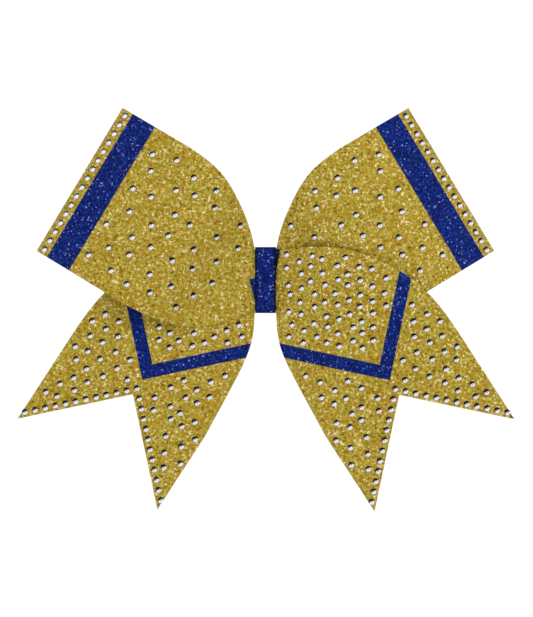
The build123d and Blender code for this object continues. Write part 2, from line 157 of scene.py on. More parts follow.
def layer_object(name, surface, outer, inner, material, ribbed=False):
    """Make one layer of the ribbon, from one distance in front of the surface to another behind it."""
    run_layer = surface.verts.layers.float["run"]
    across_layer = surface.verts.layers.float["across"]
    surface.verts.index_update()
    co = np.array([v.co for v in surface.verts])
    normal = np.array([v.normal for v in surface.verts])
    run = np.array([v[run_layer] for v in surface.verts])
    across = np.array([v[across_layer] for v in surface.verts])
    rib = rib_depth * (0.5 + 0.5 * np.cos(2 * np.pi * run / rib_pitch)) * ribbed
    count = len(co)
    points = np.vstack([co + normal * outer, co + normal * (inner + rib)[:, None]])
    faces = [[v.index for v in f.verts] for f in surface.faces]
    faces += [[i + count for i in reversed(f)] for f in faces]
    for edge in surface.edges:
        if edge.is_boundary:
            loop = edge.link_loops[0]
            a, b = loop.vert.index, loop.link_loop_next.vert.index
            faces.append([b, a, a + count, b + count])
    mesh = bpy.data.meshes.new(name)
    mesh.from_pydata(points.tolist(), [], faces)
    mesh.validate()
    strip_map = mesh.uv_layers.new(name="strip")
    order = np.zeros(len(mesh.loops), int)
    mesh.loops.foreach_get("vertex_index", order)
    place = np.column_stack([np.tile(run, 2), np.tile(across, 2)])[order]
    strip_map.data.foreach_set("uv", place.ravel())
    mesh.polygons.foreach_set("use_smooth", [True] * len(mesh.polygons))
    mesh.set_sharp_from_angle(angle=sharp_angle)
    mesh.materials.append(material)
    return new_object(name, mesh)


def new_material(name):
    """An empty node material with its shader and output."""
    material = bpy.data.materials.new(name)
    material.use_nodes = True
    tree = material.node_tree
    return material, tree, tree.nodes["Principled BSDF"]


def node(tree, kind, links=None, **settings):
    """Add a node; links names its sockets and what feeds each, a socket or a plain value."""
    made = tree.nodes.new(kind)
    for key, value in settings.items():
        setattr(made, key, value)
    for key, value in (links or {}).items():
        socket = made.inputs[key]
        if isinstance(value, bpy.types.NodeSocket):
            tree.links.new(value, socket)
        else:
            socket.default_value = value
    return made


def colour_steps(tree, value, steps):
    """A colour ramp from a list of (place, colour)."""
    ramp_node = node(tree, "ShaderNodeValToRGB", {"Fac": value})
    elements = ramp_node.color_ramp.elements
    while len(elements) < len(steps):
        elements.new(0.5)
    for element, (place, colour) in zip(elements, steps):
        element.position = place
        element.color = (*colour, 1)
    return ramp_node.outputs["Color"]


def math_of(tree, operation, *values):
    """The result of a math node on sockets and plain numbers."""
    return node(tree, "ShaderNodeMath", dict(enumerate(values)), operation=operation).outputs[0]


def vector_of(tree, operation, *values):
    """The result of a vector math node on sockets and plain vectors."""
    return node(tree, "ShaderNodeVectorMath", dict(enumerate(values)), operation=operation).outputs[0]


def mix_of(tree, share, first, second, blend="MIX"):
    """The colour of a mix node."""
    links = {"Factor": share, "A": first, "B": second}
    mix = node(tree, "ShaderNodeMix", links, data_type="RGBA", blend_type=blend)
    return [socket for socket in mix.outputs if socket.type == "RGBA"][0]


def spread(tree, value, low, high):
    """A value from 0 to 1 spread over a range."""
    return node(tree, "ShaderNodeMapRange", {"Value": value, "To Min": low, "To Max": high}).outputs[0]


# Glitter: flakes take their colour partly from soft clumps and partly by chance. The few brightest get a
# painted glint colour, and the knot ribbon's edges and folds get painted shade, nearly black.
clump_scale = 0.5
clump_gain, clump_shift, flake_gain = 1.3, -0.45, 0.6
# The painted glints: how much they follow the clumps, and the pick where they begin and where they are full.
painted_glint_clumping = 0.25
painted_glint_start, painted_glint_full = 1.125, 1.18
# Near black painted shade for the knot ribbon's edges and folds.
painted_edge_shade_colour = (0.0008, 0.001, 0.004, 1)
flake_bump, flake_relief = 0.35, 0.6
flake_roughness = (0.3, 0.6)
flake_metal = (0.1, 0.6)


def glitter_material(name, flakes, painted_glint_colour, painted_glint_share, flake_size, tilt, gloss):
    """Loose flakes in clear binder: every flake has its own colour, tilt and shine."""
    material, tree, shader = new_material(name)
    place = node(tree, "ShaderNodeTexCoord").outputs["Object"]
    flake = node(tree, "ShaderNodeTexVoronoi", {"Vector": place, "Scale": 1 / flake_size})
    random = node(tree, "ShaderNodeSeparateColor", {"Color": flake.outputs["Color"]})
    clumps = {"Vector": place, "Scale": clump_scale / flake_size, "Detail": 3.0}
    clump = node(tree, "ShaderNodeTexNoise", clumps).outputs["Fac"]
    drift = math_of(tree, "MULTIPLY_ADD", clump, clump_gain, clump_shift)
    pick = math_of(tree, "MULTIPLY_ADD", random.outputs["Red"], flake_gain, drift)
    body = colour_steps(tree, pick, flakes)
    # Painted glint: the brightest picks turn the flake colour to a pale glint colour painted into it.
    painted_glint_pick = math_of(tree, "MULTIPLY_ADD", clump, painted_glint_clumping, random.outputs["Green"])
    bright = node(
        tree,
        "ShaderNodeMapRange",
        {"Value": painted_glint_pick, "From Min": painted_glint_start - painted_glint_share, "From Max": painted_glint_full - painted_glint_share},
    )
    colour = mix_of(tree, bright.outputs[0], body, (*painted_glint_colour, 1))
    # Painted shade: the colour goes nearly black along the knot ribbon's edges and folds.
    painted_edge_shade = node(tree, "ShaderNodeAttribute", attribute_name="painted_edge_shade").outputs["Fac"]
    tree.links.new(mix_of(tree, painted_edge_shade, colour, painted_edge_shade_colour), shader.inputs["Base Color"])
    lean = vector_of(tree, "SUBTRACT", flake.outputs["Color"], (0.5, 0.5, 0.5))
    lean = node(tree, "ShaderNodeVectorMath", {0: lean, "Scale": tilt}, operation="SCALE").outputs[0]
    surface = node(tree, "ShaderNodeNewGeometry").outputs["Normal"]
    leant = vector_of(tree, "NORMALIZE", vector_of(tree, "ADD", surface, lean))
    height = math_of(tree, "MULTIPLY", flake.outputs["Distance"], -1.0)
    relief = {"Strength": flake_bump, "Distance": flake_size * flake_relief, "Height": height}
    bump = node(tree, "ShaderNodeBump", {**relief, "Normal": leant})
    tree.links.new(bump.outputs["Normal"], shader.inputs["Normal"])
    tree.links.new(spread(tree, random.outputs["Blue"], *flake_roughness), shader.inputs["Roughness"])
    tree.links.new(spread(tree, random.outputs["Green"], *flake_metal), shader.inputs["Metallic"])
    shader.inputs["Specular IOR Level"].default_value = gloss
    return material


gold_glitter = glitter_material(
    "gold_glitter",
    flakes=(
        (0.0, (0.08, 0.06, 0.001)),
        (0.18, (0.20, 0.145, 0.002)),
        (0.32, (0.40, 0.165, 0.004)),
        (0.44, (0.20, 0.25, 0.008)),
        (0.56, (0.48, 0.225, 0.012)),
        (0.68, (0.285, 0.325, 0.035)),
        (0.82, (0.55, 0.39, 0.10)),
        (1.0, (0.78, 0.65, 0.34)),
    ),
    painted_glint_colour=(0.80, 0.68, 0.42),
    painted_glint_share=0.05,
    flake_size=0.0007,
    tilt=0.45,
    gloss=0.25,
)

thread_pitch = 0.0004
thread_relief = 0.00008
grosgrain, grosgrain_tree, grosgrain_shader = new_material("gold_grosgrain")
strip_place = node(grosgrain_tree, "ShaderNodeUVMap", uv_map="strip").outputs["UV"]
threads = node(
    grosgrain_tree,
    "ShaderNodeTexWave",
    {"Vector": strip_place, "Scale": 0.5 / thread_pitch, "Distortion": 0.6, "Detail": 1.0},
    bands_direction="Y",
)
fuzz = node(grosgrain_tree, "ShaderNodeTexNoise", {"Vector": strip_place, "Scale": 900.0, "Detail": 3.0})
fibre = math_of(grosgrain_tree, "MULTIPLY", threads.outputs["Fac"], fuzz.outputs["Fac"])
grosgrain_tree.links.new(
    colour_steps(
        grosgrain_tree,
        fibre,
        ((0.0, (0.20, 0.13, 0.02)), (0.35, (0.36, 0.26, 0.055)), (0.8, (0.50, 0.38, 0.11))),
    ),
    grosgrain_shader.inputs["Base Color"],
)
grosgrain_bump = node(
    grosgrain_tree,
    "ShaderNodeBump",
    {"Strength": 0.5, "Distance": thread_relief, "Height": fibre},
)
grosgrain_tree.links.new(grosgrain_bump.outputs["Normal"], grosgrain_shader.inputs["Normal"])
grosgrain_shader.inputs["Roughness"].default_value = 0.62
grosgrain_shader.inputs["Sheen Weight"].default_value = 0.25

blue_glitter = glitter_material(
    "blue_glitter",
    flakes=(
        (0.0, (0.0004, 0.002, 0.035)),
        (0.35, (0.001, 0.006, 0.085)),
        (0.6, (0.002, 0.014, 0.14)),
        (0.85, (0.008, 0.034, 0.24)),
        (1.0, (0.02, 0.06, 0.34)),
    ),
    painted_glint_colour=(0.26, 0.30, 0.62),
    painted_glint_share=0.045,
    flake_size=0.00055,
    tilt=0.4,
    gloss=0.08,
)

# ---- The loops --------------------------------------------------------------------------------------
# Each side of the strip is carried out, folded at its full width and brought back to the knot. The
# front layer stands forward in a crown, and the back layer lies flat against the barrette.
loop_angle = math.radians(31)
loop_reach = 0.0968
loop_drop = 0.0043
loop_bulge = 0.012
loop_rise_start = 0.010
loop_crown = 0.046
fold_opening = 0.001
back_opening = 0.0008
fold_start = 0.0923
loop_curl = 0.0012
loop_low = -half_width - loop_drop
loop_high = half_width - loop_drop
loop_square_from = 0.055
facing_rows = 10
# Stretches along the loop: where the back layer opens, and where the edges start and stop curling back.
back_opening_run = (0.041, 0.085)
curl_rise = (0.008, 0.024)
curl_fade = (0.035, 0.075)
fold_step = 0.0006
fold_allowance = 0.002
pull_share = 0.75
loop_columns = 37
loop_rib_columns = 17
# Each edge of a gathered loop: places along it, each with the share of the edge's full distance out.
lower_loop_gather = ((0.009, 0.69), (0.026, 0.92), (0.048, 1.0))
upper_loop_gather = ((0.016, 0.42), (0.028, 0.7), (0.043, 0.93), (0.060, 1.0))


def turned(out, up, angle):
    """The place (out, up) along and across an axis that rises at an angle."""
    return out * math.cos(angle) + up * math.sin(angle), up * math.cos(angle) - out * math.sin(angle)


lower_loop_edge = edge_rule(
    turned(0, -half_pinch, loop_angle),
    [
        turned(knot_edge, -half_pinch, loop_angle),
        *((along, loop_low * share) for along, share in lower_loop_gather),
    ],
    (loop_reach, loop_low),
)
upper_loop_edge = edge_rule(
    turned(0, half_pinch, loop_angle),
    [
        turned(knot_edge, half_pinch, loop_angle),
        *((along, loop_high * share) for along, share in upper_loop_gather),
    ],
    (loop_reach, loop_high),
)


def loop_front(along, strand):
    """Depth of the front layer: flat in the pinch, crowned, then down to the fold."""
    rise = loop_bulge * ramp(along, loop_rise_start, loop_crown)
    fall = np.clip((along - loop_crown) / (loop_reach - loop_crown), 0, 1)
    drop = fold_opening + (loop_bulge - fold_opening) * np.cos(np.pi / 2 * fall)
    return strand - np.where(along < loop_crown, rise, drop)


def loop_back(along):
    """Depth of the back layer, flat along the barrette and then a little open."""
    return strand_back + back_opening * ramp(along, *back_opening_run)


def loop_rows(mids, columns, depth):
    """Rows of the loop seen from the front, slanting near the knot and square to the strip beyond."""
    lead = half_pinch * math.sin(loop_angle) * (1 - ramp(mids, 0, loop_square_from))
    low, high = (mids - lead)[:, None], (mids + lead)[:, None]
    share = np.linspace(0, 1, columns)[None, :]
    along = low + (high - low) * share
    across = lower_loop_edge(low) + (upper_loop_edge(high) - lower_loop_edge(low)) * share
    return along, across, depth(along, share)


def loop_place(side, along, across, depth):
    """Points of the frame for places along and across a loop."""
    out = along * math.cos(loop_angle) - across * math.sin(loop_angle)
    up = along * math.sin(loop_angle) + across * math.cos(loop_angle)
    return np.stack([side * out, depth + 0 * out, up], axis=-1)


def loop_surface(side, strand, step, columns):
    """The whole loop: front layer, fold and back layer."""
    def front_depth(along, share):
        edge = np.abs(2 * share - 1) ** 3
        hold = ramp(along, *curl_rise) * (1 - ramp(along, *curl_fade))
        return loop_front(along, strand) + loop_curl * edge * hold

    mids = np.arange(0, fold_start, step)
    front = loop_rows(mids, columns, front_depth)
    back = loop_rows(mids[::-1], columns, lambda along, share: loop_back(along))
    last = mids[-1]
    gap = 1e-5
    start = np.array([last, loop_front(last, strand)])
    slope = (loop_front(last, strand) - loop_front(last - gap, strand)) / gap
    end = np.array([last, loop_back(last)])
    pull = (loop_reach - face - last) / pull_share
    first_pull = start + pull * np.array([1, slope]) / math.hypot(1, slope)
    last_pull = end + np.array([pull, 0])
    bend_length = math.pi / 2 * (end[1] - start[1]) + fold_allowance
    t = np.linspace(0, 1, max(int(bend_length / min(step, fold_step)), 8))[1:-1, None]
    bend = start * (1 - t) ** 3 + 3 * first_pull * (1 - t) ** 2 * t
    bend = bend + 3 * last_pull * (1 - t) * t**2 + end * t**3
    share = np.linspace(0, 1, columns)[None, :]
    fold_along = bend[:, :1] + 0 * share
    fold_across = loop_low + (loop_high - loop_low) * share + 0 * fold_along
    fold = (fold_along, fold_across, bend[:, 1:] + 0 * share)
    along, across, depth = (np.vstack(part) for part in zip(front, fold, back))
    points = loop_place(side, along, across, depth)
    middle = points[:, columns // 2]
    length = lengths_along(middle)
    runs = np.repeat(length[:, None], columns, axis=1)
    surface = grid_surface(points, runs, across)
    face_forward(surface, facing_rows * (columns - 1))
    return surface, length[-1]


loop_faces = {}
for name, side in sides:
    strand = strand_front if side < 0 else strand_middle
    coarse = loop_surface(side, strand, cloth_step, loop_columns)[0]
    fine, loop_length = loop_surface(side, strand, rib_step, loop_rib_columns)
    loop_face = layer_object(f"{name}_loop_glitter", coarse, face, 0, gold_glitter)
    loop_backing = layer_object(f"{name}_loop_grosgrain", fine, 0, -backing, grosgrain, ribbed=True)
    coarse.free()
    fine.free()
    for piece, cad, slot in (
        (loop_face, "loop_face", "gold_glitter"),
        (loop_backing, "loop_backing", "grosgrain_backing"),
    ):
        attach(piece, "bow")
        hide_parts(f"{name}_{cad}")
    loop_faces[name] = loop_face

# ---- The tails --------------------------------------------------------------------------------------
# The strip's two ends, cut with a right-angled notch. The right tail passes over its loop, and the left one
# comes out from between the layers of its loop.
tail_angle = math.radians(33)
tail_reach = 0.1148
tail_shift = 0.0224
tail_bulge = 0.014
tail_crown = 0.048
tail_root_radius = 0.002
tail_tip_bulge = 0.005
rear_tail_wave = 0.003
half_knot = 0.00475
tail_outer = tail_shift + half_width
tail_inner = tail_shift - half_width
notch_top = tail_reach - half_width
prong_sweep = 0.0016
sweep_from = 0.07
wave_start, wave_crest, wave_return = 0.026, 0.072, 0.7
tail_square_from = 0.05
cut_tolerance = 1e-7
tail_weld = 2e-6
tail_columns = 17
tail_rib_columns = 9
# Each edge of a gathered tail, as for the loops.
inner_tail_gather = ((0.0264, 0.62), (0.046, 0.85), (0.075, 1.0))
outer_tail_gather = ((0.0034, 0.54), (0.022, 0.81), (0.0445, 0.965), (0.072, 1.0))


def tail_spot(out, up):
    """The place (out, up) along and across a tail."""
    across, back = turned(out, up, tail_angle)
    return -back, across


inner_tail_edge = edge_rule(
    tail_spot(0, -half_pinch),
    [
        tail_spot(knot_edge, -half_pinch),
        *((along, tail_inner * share) for along, share in inner_tail_gather),
    ],
    (tail_reach, tail_inner),
)
outer_tail_edge = edge_rule(
    tail_spot(0, half_pinch),
    [
        tail_spot(knot_edge, half_pinch),
        *((along, tail_outer * share) for along, share in outer_tail_gather),
    ],
    (tail_reach, tail_outer),
)


def front_tail(out):
    """Depth of the right tail, which passes over the front of the right loop."""
    run = np.hypot(np.maximum(out - half_knot, 0), tail_root_radius) - tail_root_radius
    rise = tail_bulge * np.sin(np.pi / 2 * run / (tail_crown - half_knot - tail_root_radius))
    fall = np.clip((out - tail_crown) / (tail_reach - tail_crown), 0, 1)
    drop = tail_tip_bulge + (tail_bulge - tail_tip_bulge) * np.cos(np.pi / 2 * fall)
    return strand_front - np.where(out < tail_crown, rise, drop)


def rear_tail(out):
    """Depth of the left tail, which leaves from between the two layers of the left loop."""
    wave = ramp(out, wave_start, wave_crest) - wave_return * ramp(out, wave_crest, tail_reach)
    return strand_middle - rear_tail_wave * wave


def tail_place(along, across):
    """How far out and how far up a place along and across a tail is."""
    out = across * math.cos(tail_angle) + along * math.sin(tail_angle)
    return out, across * math.sin(tail_angle) - along * math.cos(tail_angle)


def tail_half(side, step, columns, outer_half):
    """One half of a tail, out to a square end."""
    mids = np.concatenate([np.arange(0, tail_reach, step), [tail_reach]])
    lead = half_pinch * math.cos(tail_angle) * (1 - ramp(mids, 0, tail_square_from))
    inner, outer = (mids + lead)[:, None], (mids - lead)[:, None]
    share = np.linspace(*((0.5, 1) if outer_half else (0, 0.5)), columns)[None, :]
    along = inner + (outer - inner) * share
    across = inner_tail_edge(inner) + (outer_tail_edge(outer) - inner_tail_edge(inner)) * share
    out, up = tail_place(along, across)
    depth = front_tail(out) if side > 0 else rear_tail(out)
    sweep = prong_sweep * ramp(along, sweep_from, tail_reach) * (2 * share - 1) ** 2
    points = np.stack([side * out, depth - sweep, up], axis=-1)
    return grid_surface(points, mids[:, None] + 0 * share, across), columns - 1


def cut_half(surface, side, spot, normal):
    """Cut away what lies beyond a straight line across the tail."""
    def world(along, across):
        out, up = tail_place(along, across)
        return Vector((side * out, 0, up))

    bmesh.ops.bisect_plane(
        surface,
        geom=surface.verts[:] + surface.edges[:] + surface.faces[:],
        dist=cut_tolerance,
        plane_co=world(*spot),
        plane_no=world(*normal),
        clear_outer=True,
    )


def tail_surface(side, step, columns, cuts):
    """A whole tail trimmed by straight cuts; each cut is (place along, normal along, normal outward)."""
    whole = bpy.data.meshes.new("tail_halves")
    joined = bmesh.new()
    for outer_half in (False, True):
        half, row_faces = tail_half(side, step, columns, outer_half)
        outward = 1 if outer_half else -1
        for place, along, across in cuts:
            cut_half(half, side, (place, tail_shift), (along, outward * across))
        face_forward(half, row_faces)
        half.to_mesh(whole)
        joined.from_mesh(whole)
        half.free()
    bpy.data.meshes.remove(whole)
    bmesh.ops.remove_doubles(joined, verts=joined.verts[:], dist=tail_weld)
    joined.normal_update()
    return joined


tail_faces = {}
notch_cut = ((notch_top, 1, -1),)
for name, side in sides:
    coarse = tail_surface(side, cloth_step, tail_columns, notch_cut)
    fine = tail_surface(side, rib_step, tail_rib_columns, notch_cut)
    tail_face = layer_object(f"{name}_tail_glitter", coarse, face, 0, gold_glitter)
    tail_backing = layer_object(f"{name}_tail_grosgrain", fine, 0, -backing, grosgrain, ribbed=True)
    coarse.free()
    fine.free()
    for piece, cad, slot in (
        (tail_face, "tail_face", "gold_glitter"),
        (tail_backing, "tail_backing", "grosgrain_backing"),
    ):
        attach(piece, "bow")
        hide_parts(f"{name}_{cad}")
    tail_faces[name] = tail_face

# ---- The blue stripes -------------------------------------------------------------------------------
# Blue glitter film, heat-pressed on the gold face before folding: a straight stripe beside each fold,
# and a bent one on each tail with its point towards the notch.
stripe_margin = 0.0061
stripe_width = 0.0118
stripe_rows = 9
chevron_width = 0.0059
chevron_to_notch = 0.0079
stripe_end = loop_reach - stripe_margin
chevron_outer = notch_top - chevron_to_notch
chevron_inner = chevron_outer - chevron_width * math.sqrt(2)
for name, side in sides:
    strand = strand_front if side < 0 else strand_middle
    mids = np.linspace(stripe_end - stripe_width, stripe_end, stripe_rows)
    along, across, depth = loop_rows(mids, loop_columns, lambda along, share: loop_front(along, strand))
    stripe_surface = grid_surface(loop_place(side, along, across, depth), along, across)
    face_forward(stripe_surface, loop_columns - 1)
    chevron_cuts = ((chevron_outer, 1, 1), (chevron_inner, -1, -1))
    bend_surface = tail_surface(side, cloth_step, tail_columns, chevron_cuts)
    for surface, label, cad in (
        (stripe_surface, f"{name}_loop_band", f"{name}_loop_stripe"),
        (bend_surface, f"{name}_tail_band", f"{name}_chevron"),
    ):
        band = layer_object(label, surface, face + film, face, blue_glitter)
        surface.free()
        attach(band, "bow")
        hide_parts(cad)

# ---- The rhinestones --------------------------------------------------------------------------------
# Flat-backed cut crystals 2.9 mm across with foiled backs, set hot on the cloth: a row beside each fold
# and along each notch, and a scatter over the gold.
stone_radius = 0.00145
stone_height = 0.0011
girdle_height = 0.0002
break_radius = 0.00096
break_height = 0.00066
table_radius = 0.00045
facets = 8
painted_dark_towards = math.radians(112)
tint_seed = 5
# How a facet's painted shade falls: the half-angle of the painted dark side in radians, its painted
# brightness there, its painted brightness elsewhere.
painted_girdle_shade = (2.0, 0.0, 0.3)
painted_facet_shades = (
    (break_radius, (1.75, 0.0, 0.8)),
    (table_radius * 1.2, (1.3, 0.0, 0.92)),
    (table_radius * 0.5, (0.9, 0.45, 1.0)),
)
painted_table_shade = 0.52

# Painted shade and painted reflection: the crystal's colour is near black on the facets towards the upper
# left and pale elsewhere, with a grey table, as lit stones look.
crystal, crystal_tree, crystal_shader = new_material("crystal")
shade = node(crystal_tree, "ShaderNodeAttribute", attribute_name="shade").outputs["Fac"]
tint = node(crystal_tree, "ShaderNodeAttribute", attribute_name="tint").outputs["Fac"]
painted_foil_shade = colour_steps(
    crystal_tree,
    shade,
    (
        (0.0, (0.004, 0.004, 0.008)),
        (0.3, (0.03, 0.03, 0.05)),
        (0.6, (0.42, 0.41, 0.45)),
        (0.85, (0.80, 0.78, 0.84)),
        (1.0, (0.97, 0.96, 1.0)),
    ),
)
glow = colour_steps(crystal_tree, tint, ((0.0, (1.0, 0.93, 0.97)), (1.0, (0.90, 0.96, 1.0))))
tinted = mix_of(crystal_tree, 1.0, painted_foil_shade, glow, blend="MULTIPLY")
crystal_tree.links.new(tinted, crystal_shader.inputs["Base Color"])
crystal_shader.inputs["Roughness"].default_value = 0.12
crystal_shader.inputs["Specular IOR Level"].default_value = 0.08

stone_bm = bmesh.new()
shade_layer = stone_bm.faces.layers.float.new("shade")


def ring(radius, height, offset):
    """A ring of points, one for each facet."""
    line = []
    for index in range(facets):
        angle = 2 * math.pi * (index + offset) / facets
        line.append(stone_bm.verts.new((radius * math.cos(angle), radius * math.sin(angle), height)))
    return line


def painted_shade_of(centre, dark_span, deep, pale):
    """Painted shade of a facet: dark where it faces away from the light, pale elsewhere, painted into its
    colour.
    """
    angle = math.atan2(centre.y, centre.x)
    off = abs((angle - painted_dark_towards + math.pi) % (2 * math.pi) - math.pi)
    return deep if off < dark_span else pale


floor_ring = ring(stone_radius, 0, 0.5)
girdle_ring = ring(stone_radius, girdle_height, 0.5)
break_ring = ring(break_radius, break_height, 0)
table_ring = ring(table_radius, stone_height, 0.5)
for index in range(facets):
    after = (index + 1) % facets
    bands = (
        (floor_ring[index], floor_ring[after], girdle_ring[after], girdle_ring[index]),
        (girdle_ring[index], girdle_ring[after], break_ring[after]),
        (break_ring[index], girdle_ring[index], break_ring[after]),
        (break_ring[index], break_ring[after], table_ring[index]),
        (table_ring[index], break_ring[after], table_ring[after]),
    )
    for corners in bands:
        stone_bm.faces.new(corners)
stone_bm.faces.new(table_ring)
stone_bm.faces.new(list(reversed(floor_ring)))
bmesh.ops.recalc_face_normals(stone_bm, faces=stone_bm.faces[:])
# Each facet's painted shade, from its direction round the stone and its ring.
for facet in stone_bm.faces:
    centre = facet.calc_center_median()
    reach = math.hypot(centre.x, centre.y)
    if centre.z < girdle_height:
        facet[shade_layer] = painted_shade_of(centre, *painted_girdle_shade)
    else:
        shines = [painted_shade_of(centre, *painted_ring_shade) for least, painted_ring_shade in painted_facet_shades if reach > least]
        facet[shade_layer] = (shines + [painted_table_shade])[0]
stone_mesh = bpy.data.meshes.new("cut_stone")
stone_bm.to_mesh(stone_mesh)
stone_bm.free()
cut_stone = new_object("cut_stone", stone_mesh)

setting = bpy.data.node_groups.new("stone_setting", "GeometryNodeTree")
for label, kind in (("Seats", "Geometry"), ("Stone", "Object"), ("Size", "Float")):
    setting.interface.new_socket(label, in_out="INPUT", socket_type=f"NodeSocket{kind}")
setting.interface.new_socket("Stones", in_out="OUTPUT", socket_type="NodeSocketGeometry")
given = setting.nodes.new("NodeGroupInput").outputs
stone_info = node(setting, "GeometryNodeObjectInfo", {"Object": given["Stone"]})
turn = node(setting, "GeometryNodeInputNamedAttribute", {"Name": "turn"}, data_type="FLOAT_VECTOR")
to_turn = node(setting, "FunctionNodeEulerToRotation", {"Euler": turn.outputs["Attribute"]})
placed = node(
    setting,
    "GeometryNodeInstanceOnPoints",
    {
        "Points": given["Seats"],
        "Instance": stone_info.outputs["Geometry"],
        "Rotation": to_turn.outputs["Rotation"],
        "Scale": given["Size"],
    },
)
chance = node(setting, "FunctionNodeRandomValue", {"Seed": tint_seed})
kept_tint = node(
    setting,
    "GeometryNodeStoreNamedAttribute",
    {"Geometry": placed.outputs["Instances"], "Name": "tint", "Value": chance.outputs[1]},
    domain="INSTANCE",
)
real = node(setting, "GeometryNodeRealizeInstances", {"Geometry": kept_tint.outputs["Geometry"]})
coating = {"Geometry": real.outputs["Geometry"], "Material": crystal}
coated = node(setting, "GeometryNodeSetMaterial", coating)
setting.links.new(coated.outputs["Geometry"], setting.nodes.new("NodeGroupOutput").inputs["Stones"])


def loose_parts(mesh):
    """The centres of a mesh's separate solids."""
    parts = bmesh.new()
    parts.from_mesh(mesh)
    bmesh.ops.remove_doubles(parts, verts=parts.verts[:], dist=1e-6)
    seen, centres = set(), []
    for vert in parts.verts:
        if vert in seen:
            continue
        part, front = [], [vert]
        seen.add(vert)
        while front:
            here = front.pop()
            part.append(here.co)
            for edge in here.link_edges:
                other = edge.other_vert(here)
                if other not in seen:
                    seen.add(other)
                    front.append(other)
        low = Vector([min(c[i] for c in part) for i in range(3)])
        high = Vector([max(c[i] for c in part) for i in range(3)])
        centres.append((low + high) / 2)
    parts.free()
    return sorted(centres, key=lambda c: (c.z, c.x))


def cloth_below(piece):
    """A tree that finds where a piece's cloth lies behind a point."""
    cloth = bmesh.new()
    cloth.from_mesh(piece.data)
    tree = BVHTree.FromBMesh(cloth)
    cloth.free()
    return tree


# A stone sits where a ray from the front meets the cloth, turned to lie flat with its painted dark side up.
ray_start = Vector((0, 0.03, 0))
ray_way = Vector((0, 1, 0))
for name, side in sides:
    for label, cloth_piece in (
        ("loop_border_stones", loop_faces[name]),
        ("loop_stones", loop_faces[name]),
        ("tail_border_stones", tail_faces[name]),
        ("tail_stones", tail_faces[name]),
    ):
        cad_name = f"{name}_{label}"
        cloth_tree = cloth_below(cloth_piece)
        seats, turns = [], []
        for centre in loose_parts(nodes[cad_name].data):
            hit, normal = cloth_tree.ray_cast(centre - ray_start, ray_way)[:2]
            if hit is None:
                continue
            up = (Vector((0, 0, 1)) - normal * normal.z).normalized()
            right = up.cross(normal)
            turns.append(Matrix((right, up, normal)).transposed().to_euler())
            seats.append(hit)
        seat_mesh = bpy.data.meshes.new(f"{cad_name}_seats")
        seat_mesh.from_pydata(seats, [], [])
        kept = seat_mesh.attributes.new("turn", "FLOAT_VECTOR", "POINT")
        kept.data.foreach_set("vector", np.array([list(t) for t in turns], np.float32).ravel())
        seat_object = new_object(f"{cad_name}_seats", seat_mesh)
        modifier = seat_object.modifiers.new("setting", "NODES")
        modifier.node_group = setting
        for item in setting.interface.items_tree:
            if item.in_out == "INPUT" and item.name == "Stone":
                modifier[item.identifier] = cut_stone
            if item.in_out == "INPUT" and item.name == "Size":
                modifier[item.identifier] = 1.0
        shown = seat_object.evaluated_get(bpy.context.evaluated_depsgraph_get())
        stones_mesh = bpy.data.meshes.new_from_object(shown)
        bpy.data.objects.remove(seat_object)
        stones = new_object(f"{cad_name}_cut", stones_mesh)
        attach(stones, "bow")
        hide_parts(cad_name)
bpy.data.objects.remove(cut_stone)

# ---- The knot ---------------------------------------------------------------------------------------
# Narrow blue glitter ribbon wound twice round the pinched strands and the barrette. Its edges and its
# folds at the top and bottom carry painted shade, nearly black. The inner turn is skewed and shows as two
# slivers beside the outer one.
knot_low, knot_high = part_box("knot_outer_wrap")
knot_half = (knot_high[0] - knot_low[0]) / 2
wrap_thickness = 0.0004
wrap_gap = 0.0001
# How wide the painted shade is along the edges and the folds, and how fast it fades in.
painted_shade_edge_width = 0.0007
painted_shade_fold_width = 0.0004
painted_shade_fade = 1.7
band_step = 0.0004
band_columns = 33
band_sag = 0.00016
band_weld = 1e-6
band_facing_rows = 5
plate_low, plate_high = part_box("barrette_plate")
tie_low, tie_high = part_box("centre_tie")
wrap_back = knot_high[1] - 2 * (wrap_gap + wrap_thickness)
section_corners = (
    (tie_low[1], tie_high[2]),
    (tie_low[1], tie_low[2]),
    (tie_high[1], tie_low[2]),
    (wrap_back, plate_low[2]),
    (wrap_back, plate_high[2]),
    (tie_high[1], tie_high[2]),
)


def wound_path(clearance, steps=7):
    """The section of a turn of ribbon round the corners, rounded, from the top of its front."""
    path = []
    count = len(section_corners)
    for index, (y, z) in enumerate(section_corners):
        angles = []
        for other, sign in ((index - 1, 1), ((index + 1) % count, -1)):
            run_y = sign * (y - section_corners[other][0])
            run_z = sign * (z - section_corners[other][1])
            angles.append(math.atan2(run_y, -run_z) + math.pi)
        while angles[1] < angles[0]:
            angles[1] += 2 * math.pi
        for step in range(steps):
            angle = angles[0] + (angles[1] - angles[0]) * step / (steps - 1)
            path.append((y + clearance * math.cos(angle), z + clearance * math.sin(angle)))
    return path


def along_closed(path, spacing):
    """The closed path again, with points at an even spacing."""
    ring_points = np.array(path + path[:1])
    length = lengths_along(ring_points)
    places = np.linspace(0, length[-1], int(length[-1] / spacing))
    even = np.column_stack([np.interp(places, length, ring_points[:, i]) for i in range(2)])
    return even, places


